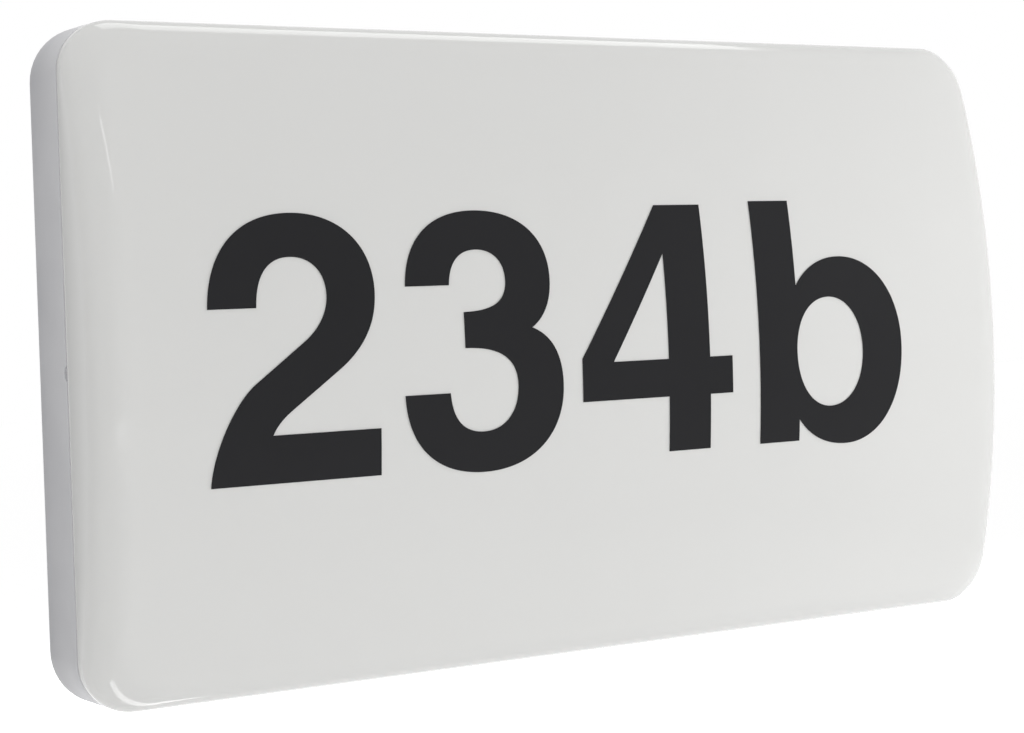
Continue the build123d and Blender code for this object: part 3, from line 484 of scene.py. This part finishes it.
# Rubber and silicone pieces. The cover's gasket is extruded grey silicone cord joined into a ring; the
# cable grommet, the wall-screw washers and the tray bush are black moulded rubber.
rubber = Finish("black_rubber")
rubber.bump(rubber.noise(1800, 3), 0.03 * MM, 0.6)
rubber.paint(Base_Color=rubber.mottled(60, 3, colour(34, 34, 35), colour(46, 46, 46)),
             Roughness=rubber.patches(150, 3, 0.55, 0.75))
silicone = Finish("grey_silicone")
silicone.bump(silicone.noise(900, 2), 0.03 * MM, 0.5)
silicone.paint(Base_Color=silicone.mottled(40, 3, colour(176, 178, 180), colour(188, 190, 191)),
               Roughness=silicone.patches(200, 3, 0.45, 0.6))


def dress(node, name, finish):
    """Show a fixed piece of the base as its merged copy in a finish."""
    piece = smooth_copy(node, name)
    piece.data.materials.append(finish.material)
    settle(piece, name, "base")
    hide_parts(node)


dress("cover_gasket", "gasket_ring", silicone)
dress("cable_grommet", "rear_grommet", rubber)
dress("wall_screw_seals", "screw_washers", rubber)
dress("tray_grommet", "tray_bush", rubber)

# Steel, brass and tin. The screws, the stud and its nut are zinc-plated steel, the clamps in the terminal
# block are turned brass, and the ring on the end of the earth lead is tinned copper.


def metal(name, light, dark, low, high):
    """A plated metal: two close tints in soft patches, and fine scratches in its roughness."""
    finish = Finish(name, Metallic=1.0)
    finish.bump(finish.noise(3000, 2), 0.01 * MM, 0.5)
    finish.paint(Base_Color=finish.mottled(300, 3, colour(*light), colour(*dark)),
                 Roughness=finish.patches(900, 4, low, high))
    return finish


zinc = metal("zinc_plated_steel", (196, 200, 206), (168, 173, 182), 0.24, 0.4)
brass = metal("turned_brass", (214, 186, 118), (190, 160, 92), 0.22, 0.38)
tin = metal("tinned_copper", (206, 206, 204), (178, 178, 176), 0.28, 0.42)
dress("terminal_clamps", "block_clamps", brass)
dress("terminal_clamp_screws", "clamp_screws", zinc)
dress("terminal_block_screws", "block_screws", zinc)
dress("tray_screws", "tray_fixings", zinc)
dress("board_screws", "board_fixings", zinc)
dress("driver_screws", "driver_fixings", zinc)
dress("earth_stud", "tray_earth_stud", zinc)
dress("earth_nut", "stud_nut", zinc)
dress("earth_ring_terminal", "earth_ring", tin)

# Gear tray. A folded sheet-steel tray, powder-coated white as the reflector behind the cover, carries the
# boards on its front and leaves room for the wiring behind it.
powder = Finish("white_powder_coat", IOR=1.5)
powder.bump(powder.noise(700, 2) + powder.noise(2200, 1) * 0.3, 0.06 * MM, 0.45)
powder.paint(Base_Color=powder.mottled(10, 3, colour(226, 227, 226), colour(233, 234, 232)),
             Roughness=powder.patches(80, 3, 0.3, 0.42))
dress("gear_tray", "folded_tray", powder)

# LED boards. Three long boards, white solder mask over their copper, carry ten LEDs each. Link wires at
# the ends feed one board from the next through small push-in connectors.
ROW_PITCH = 42 * MM
LED_PITCH = 18 * MM
TRACK_OFFSET = 3.4 * MM
TRACK_WIDTH = 1.1 * MM
STUB_OFFSET = 3.2 * MM
STUB_WIDTH = 1 * MM
SOFT_EDGE = 0.05 * MM
MASK_DEPTH = 0.05 * MM
PHOSPHOR_RADIUS = 1.15 * MM
PHOSPHOR_EDGE = 0.03 * MM


def folded(value, pitch, start=0.0):
    """How far a place is from the nearest of a row of lines a pitch apart, in metres, with its sign."""
    return (value - start + pitch / 2) % pitch - pitch / 2


mask = Finish("white_solder_mask", IOR=1.5)
mask_x, _, mask_z = mask.axes()
across = abs(folded(mask_z, ROW_PITCH))
along = abs(folded(mask_x, LED_PITCH, LED_PITCH / 2))
rail = abs(across - TRACK_OFFSET).below(TRACK_WIDTH / 2, SOFT_EDGE)
stub = abs(along - STUB_OFFSET).below(STUB_WIDTH / 2, SOFT_EDGE) * across.below(TRACK_OFFSET, SOFT_EDGE)
copper = rail.maths("MAXIMUM", rail, stub)
mask.bump(copper + mask.noise(500, 2) * 0.1, MASK_DEPTH, 0.6)
mask.paint(Base_Color=mask.mix(copper, colour(236, 237, 234), colour(222, 222, 214)),
           Roughness=mask.patches(150, 3, 0.3, 0.42))
phosphor = Finish("led_package", IOR=1.5)
chip_x, _, chip_z = phosphor.axes()
chip_x = folded(chip_x, LED_PITCH, LED_PITCH / 2)
chip_z = folded(chip_z, ROW_PITCH)
lens = ((chip_x ** 2 + chip_z ** 2) ** 0.5).below(PHOSPHOR_RADIUS, PHOSPHOR_EDGE)
front = phosphor.axes(phosphor.facing)[1].below(-0.5, 0.1)
phosphor.bump(phosphor.noise(4000, 2), 0.01 * MM, 0.4)
phosphor.paint(Base_Color=phosphor.mix(lens * front, colour(232, 232, 228), colour(238, 206, 74)),
               Roughness=phosphor.ramp(lens * front, 0, 1, 0.35, 0.2))
ivory = Finish("ivory_nylon", IOR=1.52)
ivory.bump(ivory.noise(1200, 2), 0.02 * MM, 0.4)
ivory.paint(Base_Color=ivory.mottled(60, 3, colour(222, 220, 208), colour(230, 228, 218)),
            Roughness=ivory.patches(250, 3, 0.38, 0.5))
for row in ("upper", "middle", "lower"):
    dress("led_board_" + row, "board_" + row, mask)
    dress("led_chips_" + row, "leds_" + row, phosphor)
dress("board_connectors", "push_in_connectors", ivory)

# Terminal block. A three-pole block of heat-resistant polyamide stands on two pads in the base, with a
# wire hole at each end of every pole and screw access from the front.
polyamide = Finish("white_polyamide", IOR=1.52)
polyamide.bump(polyamide.noise(900, 3), 0.03 * MM, 0.4)
polyamide.paint(Base_Color=polyamide.mottled(40, 3, colour(214, 214, 208), colour(224, 224, 219)),
                Roughness=polyamide.patches(200, 3, 0.36, 0.5))
dress("terminal_block", "three_pole_block", polyamide)

# LED driver. A closed plastic case holds a small power supply: a green board with a transformer, two
# capacitors, a choke and two chips. The lid snaps into the front of the case.
WINDING_X = 43 * MM
WINDING_Z = -21 * MM
WINDING_HALF_WIDTH = 5 * MM
WINDING_HALF_HEIGHT = 4 * MM
CAN_END_LEVEL = -14.2 * MM

casing = Finish("driver_polycarbonate", IOR=1.55)
casing.bump(casing.noise(1300, 3, 0.6), 0.04 * MM, 0.5)
casing.paint(Base_Color=casing.mottled(30, 3, colour(206, 208, 210), colour(216, 218, 220)),
             Roughness=casing.patches(120, 3, 0.42, 0.55))
green = Finish("green_circuit_board", IOR=1.5)
lanes = green.add("ShaderNodeTexBrick", {"offset": 0.35, "squash": 1.4}, Vector=green.place, Scale=130,
                  output="Fac", **{"Mortar Size": 0.05, "Row Height": 0.3, "Brick Width": 0.9})
green.bump(lanes + green.noise(600, 2) * 0.2, MASK_DEPTH, 0.6)
green.paint(Base_Color=green.mix(lanes, colour(26, 84, 50), colour(48, 118, 72)),
            Roughness=green.patches(200, 3, 0.28, 0.4))
ferrite = Finish("taped_ferrite_core")
core_x, _, core_z = ferrite.axes()
wound_across = abs(core_x - WINDING_X).below(WINDING_HALF_WIDTH, SOFT_EDGE)
winding = wound_across * abs(core_z - WINDING_Z).below(WINDING_HALF_HEIGHT, SOFT_EDGE)
ferrite.bump(ferrite.noise(1500, 3), 0.03 * MM, 0.5)
ferrite.paint(Base_Color=ferrite.mix(winding, colour(52, 52, 54), colour(214, 176, 62)),
              Roughness=ferrite.ramp(winding + ferrite.noise(300, 2) * 0.2, 0, 1.2, 0.7, 0.35))
sleeve = Finish("capacitor_sleeve")
sleeve_z = sleeve.axes()[2]
can_end = sleeve_z.maths("GREATER_THAN", sleeve_z, CAN_END_LEVEL)
stripe = sleeve.axes(sleeve.facing)[0].below(-0.8, 0.03)
sleeve.bump(sleeve.noise(1200, 2), 0.02 * MM, 0.4)
sleeve_tint = sleeve.mix(stripe, colour(38, 42, 62), colour(150, 152, 158))
sleeve.paint(Base_Color=sleeve.mix(can_end, sleeve_tint, colour(190, 192, 196)), Metallic=can_end,
             Roughness=sleeve.patches(300, 3, 0.3, 0.42))
epoxy = Finish("black_moulded_epoxy")
epoxy.bump(epoxy.noise(2500, 2), 0.02 * MM, 0.5)
epoxy.paint(Base_Color=epoxy.mottled(200, 2, colour(34, 34, 36), colour(46, 46, 48)),
            Roughness=epoxy.patches(400, 3, 0.5, 0.65))
dress("driver_case", "power_case", casing)
dress("driver_lid", "power_lid", casing)
dress("driver_board", "power_board", green)
dress("driver_transformer", "power_transformer", ferrite)
dress("driver_choke", "power_choke", ferrite)
dress("driver_capacitors", "power_capacitors", sleeve)
dress("driver_chips", "power_chips", epoxy)

# Leads. Single-core PVC leads run from the terminal block to the driver and the earth stud, and from the
# driver up through the tray to the boards.


def insulation(name, base, other, striped=False):
    """Extruded PVC: close tints in soft patches, or two colours that each cover half of the lead."""
    finish = Finish(name, IOR=1.53)
    sideways, _, upward = finish.axes(finish.facing)
    share = (sideways + upward).below(0, 0.05) if striped else finish.noise(200, 3)
    finish.bump(finish.noise(1500, 2), 0.01 * MM, 0.5)
    finish.paint(Base_Color=finish.mix(share, colour(*base), colour(*other)),
                 Roughness=finish.patches(400, 3, 0.34, 0.48))
    return finish


brown = insulation("brown_insulation", (92, 58, 38), (102, 66, 44))
blue = insulation("blue_insulation", (44, 96, 168), (52, 106, 178))
green_yellow = insulation("green_yellow_insulation", (226, 204, 48), (44, 132, 66), striped=True)
red = insulation("red_insulation", (178, 38, 36), (188, 46, 42))
black = insulation("black_insulation", (38, 38, 40), (48, 48, 50))
dress("live_lead", "brown_lead", brown)
dress("neutral_lead", "blue_lead", blue)
dress("earth_lead", "green_yellow_lead", green_yellow)
dress("board_lead_positive", "red_lead", red)
dress("board_lead_negative", "black_lead", black)
for row in ("middle", "lower"):
    dress("link_wire_" + row + "_outer", "red_link_" + row, red)
    dress("link_wire_" + row + "_inner", "black_link_" + row, black)

# Camera. It looks from the left and a little from below. Its angles, place, lens and shift were fitted to
# the outline, the seam and the number in the photograph.
AZIMUTH = radians(-26.099)
ELEVATION = radians(-1.251)
ROLL = radians(-2.401)
ORIGIN_SEEN = Vector((4.9005, -17.6409, -479.0082)) * MM
PICTURE_WIDTH = 1024
PICTURE_HEIGHT = 733
FOCAL_PIXELS = 1784.03
CENTRE_ROW = 276.73
SENSOR_WIDTH = 36

back = Vector((sin(AZIMUTH) * cos(ELEVATION), -cos(AZIMUTH) * cos(ELEVATION), sin(ELEVATION)))
level_right = Vector((0, 0, 1)).cross(back).normalized()
level_up = back.cross(level_right)
right = level_right * cos(ROLL) + level_up * sin(ROLL)
up = level_up * cos(ROLL) - level_right * sin(ROLL)
turn = Matrix((right, up, back)).transposed()
camera_data = bpy.data.cameras.new("camera")
camera_data.sensor_width = SENSOR_WIDTH
camera_data.lens = SENSOR_WIDTH * FOCAL_PIXELS / PICTURE_WIDTH
camera_data.shift_y = (CENTRE_ROW - PICTURE_HEIGHT / 2) / PICTURE_WIDTH
camera = bpy.data.objects.new("camera", camera_data)
camera.matrix_world = Matrix.Translation(-(turn @ ORIGIN_SEEN)) @ turn.to_4x4()
bpy.context.scene.collection.objects.link(camera)
bpy.context.scene.camera = camera

# Studio. Pale surroundings, a floor below the light, and soft lamps. A broad key lamp on the left does most
# of the work, and fill, above, top, low and behind even it out. Only top, curl and the two streaks show in
# the gloss, as the bright lines along the edges and near the corners.
WORLD_LEVEL = 0.17
WHITE_LEVEL = 1.0
FLOOR_SIZE = 12
FLOOR_LEVEL = -0.3
FLOOR_LIFT = 0.78
bpy.context.scene.view_settings.view_transform = "Standard"


def white_to_the_eye(tree, plain, white):
    """Mix towards white for rays that come straight, mirrored or through glass from the camera."""
    path = tree.nodes.new("ShaderNodeLightPath")
    seen = path.outputs["Is Camera Ray"]
    for ray in ("Is Glossy Ray", "Is Transmission Ray"):
        either = tree.nodes.new("ShaderNodeMath")
        either.operation = "MAXIMUM"
        tree.links.new(seen, either.inputs[0])
        tree.links.new(path.outputs[ray], either.inputs[1])
        seen = either.outputs[0]
    blend = tree.nodes.new("ShaderNodeMixShader")
    tree.links.new(seen, blend.inputs[0])
    tree.links.new(plain, blend.inputs[1])
    tree.links.new(white, blend.inputs[2])
    return blend.outputs[0]


def glow(tree, kind, strength):
    """A white light source of a strength, as a background or on a surface."""
    node = tree.nodes.new(kind)
    node.inputs["Strength"].default_value = strength
    node.inputs["Color"].default_value = (1, 1, 1, 1)
    return node.outputs[0]


world = bpy.data.worlds.new("studio")
bpy.context.scene.world = world
world.use_nodes = True
world.node_tree.nodes.clear()
surroundings = white_to_the_eye(world.node_tree, glow(world.node_tree, "ShaderNodeBackground", WORLD_LEVEL),
                                glow(world.node_tree, "ShaderNodeBackground", WHITE_LEVEL))
world_end = world.node_tree.nodes.new("ShaderNodeOutputWorld")
world.node_tree.links.new(surroundings, world_end.inputs[0])

bpy.ops.mesh.primitive_plane_add(size=FLOOR_SIZE, location=(0, 0, FLOOR_LEVEL))
floor = bpy.context.object
floor.name = "floor"
ground = Finish("pale_floor", Roughness=0.9)
ground.paint(Base_Color=ground.mottled(3, 2, colour(238, 238, 238), colour(243, 243, 243)))
lifted = ground.tree.nodes.new("ShaderNodeAddShader")
ground.tree.links.new(ground.shader.outputs[0], lifted.inputs[0])
ground.tree.links.new(glow(ground.tree, "ShaderNodeEmission", FLOOR_LIFT), lifted.inputs[1])
ground.tree.links.new(white_to_the_eye(ground.tree, ground.shader.outputs[0], lifted.outputs[0]),
                      ground.tree.nodes["Material Output"].inputs[0])
floor.data.materials.append(ground.material)


def soft_lamp(name, place, aim, width, height, power, roll=0, lights=True, mirrored=False):
    """An area lamp at a place, turned towards an aim. It lights the object, shows in its gloss, or both."""
    data = bpy.data.lights.new(name, "AREA")
    data.shape = "RECTANGLE"
    data.size = width
    data.size_y = height
    data.energy = power
    lamp = bpy.data.objects.new(name, data)
    lamp.location = place
    lamp.rotation_euler = (Vector(aim) - Vector(place)).to_track_quat("-Z", "Y").to_euler()
    lamp.rotation_euler.rotate_axis("Z", radians(roll))
    lamp.visible_camera = False
    lamp.visible_diffuse = lights
    lamp.visible_glossy = mirrored
    bpy.context.scene.collection.objects.link(lamp)


soft_lamp("key", (-0.95, -1.76, 0.02), (0, 0, 0), 1.0, 1.0, 18.0)
soft_lamp("fill", (0.42, -0.3, 0.05), (0.08, 0, 0), 0.3, 0.4, 1.1)
soft_lamp("above", (-0.4, -0.03, 0.52), (-0.1, 0, 0), 0.6, 0.3, 0.8)
soft_lamp("top", (0.12, 0.1, 0.6), (0.12, 0.101, 0), 0.58, 0.26, 1.05, mirrored=True)
soft_lamp("low", (0.1, 0.04, -0.29), (0.1, 0.041, 0), 0.8, 0.2, 0.12)
soft_lamp("curl", (-0.135, -0.04, -0.29), (-0.135, -0.039, 0), 0.22, 0.03, 0.08,
          roll=-39.5, lights=False, mirrored=True)
soft_lamp("streak", (-0.366, -0.782, 0.463), (-0.12, -0.037, 0.047), 0.014, 0.31, 0.14,
          roll=60.6, lights=False, mirrored=True)
soft_lamp("faint_streak", (-0.358, -0.898, -0.01), (-0.12, -0.042, 0), 0.014, 0.31, 0.04,
          roll=30, lights=False, mirrored=True)
soft_lamp("behind", (0.2, 1.2, 0.5), (0, 0, 0), 1.0, 0.7, 6)
